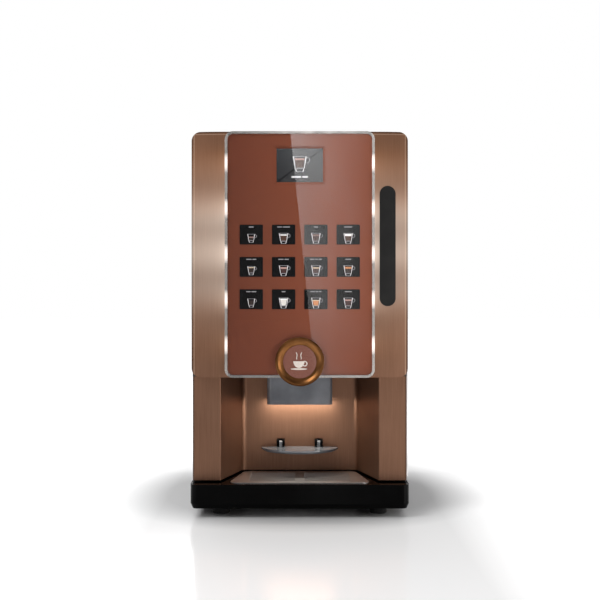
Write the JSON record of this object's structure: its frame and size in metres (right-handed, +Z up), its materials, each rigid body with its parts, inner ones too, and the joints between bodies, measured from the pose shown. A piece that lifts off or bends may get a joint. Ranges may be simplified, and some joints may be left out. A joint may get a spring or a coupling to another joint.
{
  "type": "hot coffee vending machine",
  "caption": "Table-top hot drinks vending machine with a full-height swing door, glass keypad front, dispensing niche, fold-down cup shelf and lift-out drip tray.",
  "frame": {"origin": "middle of the machine's footprint on the floor", "axes": "+Z up, +X to the viewer's right, +Y to the back; the front faces -Y"},
  "size_m": [0.415, 0.564, 0.743],
  "materials": {
    "bronze": "brushed bronze lacquer",
    "black_gloss": "gloss",
    "black_matte": "fine grain",
    "dark_steel": "satin powder coat",
    "stainless": "brushed",
    "zinc": "galvanised",
    "rubber": "matte",
    "clear_glass": "polished",
    "rim": "satin silver",
    "brown_print": "gloss",
    "label": "printed",
    "screen": "gloss",
    "gold": "satin",
    "badge_brown": "gloss",
    "smoked": "smoked translucent",
    "lamp": "glowing",
    "chrome": "polished",
    "clear_plastic": "translucent",
    "white_plastic": "satin",
    "red_plastic": "gloss",
    "motor": "satin",
    "brass": "machined",
    "board": "circuit board",
    "hose": "silicone",
    "aluminium": "die cast"
  },
  "bodies": {
    "cabinet": {"feet": "rubber", "base_moulding": "black_gloss", "cabinet_shell": "dark_steel", "rear_panel": "dark_steel", "panel_screws": "zinc", "water_inlet": "brass", "power_inlet": "black_matte", "fan_housing": "black_matte", "chassis": "zinc", "powder_canisters": "clear_plastic", "canister_lids": "white_plastic", "mixer_bowls": "white_plastic", "gear_motors": "motor", "bean_hopper": "clear_plastic", "top_cover": "black_matte", "grinder_body": "aluminium", "brewer_frame": "black_matte", "waste_bin": "black_matte", "nozzle_arm": "black_matte", "drink_hoses": "hose", "boiler": "stainless", "solenoid_valves": "black_matte", "water_pump": "motor", "air_break_tank": "clear_plastic", "control_board": "board", "power_supply": "zinc", "lock_barrel": "chrome", "cabinet_hinge_leaf": "stainless", "hinge_pin": "stainless"},
    "cup_shelf": {"cup_shelf": "smoked"},
    "drip_tray": {"drip_tray": "stainless"},
    "drip_grille": {"drip_grille": "stainless"},
    "bean_lid": {"hopper_lid": "smoked"},
    "gate": {"hopper_gate": "stainless"},
    "burr": {"grinding_burr": "stainless"},
    "auger_1": {"auger_1": "white_plastic"},
    "auger_2": {"auger_2": "white_plastic"},
    "impeller_1": {"mixer_impeller_1": "white_plastic"},
    "impeller_2": {"mixer_impeller_2": "white_plastic"},
    "fan": {"fan_rotor": "black_matte"},
    "piston": {"brewer_piston": "aluminium"},
    "spindle": {"brewer_spindle": "stainless"},
    "float": {"tank_float": "white_plastic"},
    "rocker": {"power_rocker": "red_plastic"},
    "lock": {"lock_plug": "chrome"},
    "door": {"upper_fascia": "bronze", "lower_fascia": "bronze", "light_frame": "rim", "front_glass": "clear_glass", "touch_panel": "brown_print", "key_labels": "label", "display_module": "screen", "payment_cover": "black_matte", "badge_ring": "gold", "badge_disc": "badge_brown", "door_frame": "dark_steel", "door_lamps": "lamp", "door_hinge_leaf": "stainless", "spout_hood": "smoked", "shelf_brackets": "black_gloss"}
  },
  "joints": [
    {"name": "door_swing", "type": "hinge", "parent": "cabinet", "child": "door", "pos_m": [0.2045, -0.215, 0.393], "axis": [0, 0, 1], "range_deg": [0, 110]},
    {"name": "lock_turn", "type": "hinge", "parent": "cabinet", "child": "lock", "pos_m": [-0.2, -0.19, 0.402], "axis": [1, 0, 0], "range_deg": [0, 90]},
    {"name": "cup_shelf_fold", "type": "hinge", "parent": "door", "child": "cup_shelf", "pos_m": [0, -0.123, 0.122], "axis": [-1, 0, 0], "range_deg": [0, 85]},
    {"name": "drip_tray_lift", "type": "slide", "parent": "cabinet", "child": "drip_tray", "axis": [0, 0, 1], "range_m": [0, 0.03]},
    {"name": "drip_grille_lift", "type": "slide", "parent": "drip_tray", "child": "drip_grille", "axis": [0, 0, 1], "range_m": [0, 0.03]},
    {"name": "bean_lid_hinge", "type": "hinge", "parent": "cabinet", "child": "bean_lid", "pos_m": [-0.095, 0.079, 0.7398], "axis": [-1, 0, 0], "range_deg": [0, 95]},
    {"name": "bean_gate_slide", "type": "slide", "parent": "cabinet", "child": "gate", "axis": [0, -1, 0], "range_m": [0, 0.044]},
    {"name": "grinder_spin", "type": "hinge", "parent": "cabinet", "child": "burr", "pos_m": [-0.095, -0.02, 0.49], "axis": [0, 0, 1], "continuous": true},
    {"name": "auger_1_spin", "type": "hinge", "parent": "cabinet", "child": "auger_1", "pos_m": [0.052, 0, 0.495], "axis": [0, 1, 0], "continuous": true},
    {"name": "impeller_1_spin", "type": "hinge", "parent": "cabinet", "child": "impeller_1", "pos_m": [0.052, -0.08, 0.385], "axis": [0, 1, 0], "continuous": true},
    {"name": "auger_2_spin", "type": "hinge", "parent": "cabinet", "child": "auger_2", "pos_m": [0.142, 0, 0.495], "axis": [0, 1, 0], "continuous": true},
    {"name": "impeller_2_spin", "type": "hinge", "parent": "cabinet", "child": "impeller_2", "pos_m": [0.142, -0.08, 0.385], "axis": [0, 1, 0], "continuous": true},
    {"name": "fan_spin", "type": "hinge", "parent": "cabinet", "child": "fan", "pos_m": [0.1, 0.256, 0.34], "axis": [0, 1, 0], "continuous": true},
    {"name": "piston_press", "type": "slide", "parent": "cabinet", "child": "piston", "axis": [0, 0, -1], "range_m": [0, 0.045]},
    {"name": "spindle_turn", "type": "hinge", "parent": "cabinet", "child": "spindle", "pos_m": [-0.095, 0.015, 0.35], "axis": [0, 0, 1], "range_deg": [0, 1625]},
    {"name": "float_rise", "type": "slide", "parent": "cabinet", "child": "float", "axis": [0, 0, 1], "range_m": [0, 0.06]},
    {"name": "power_rocker_tilt", "type": "hinge", "parent": "cabinet", "child": "rocker", "pos_m": [0.158, 0.27, 0.11], "axis": [1, 0, 0], "range_deg": [-10, 10]}
  ],
  "couplings": [
    {"joint": "spindle_turn", "follows": "piston_press", "rad_per_m": 628.32}
  ]
}
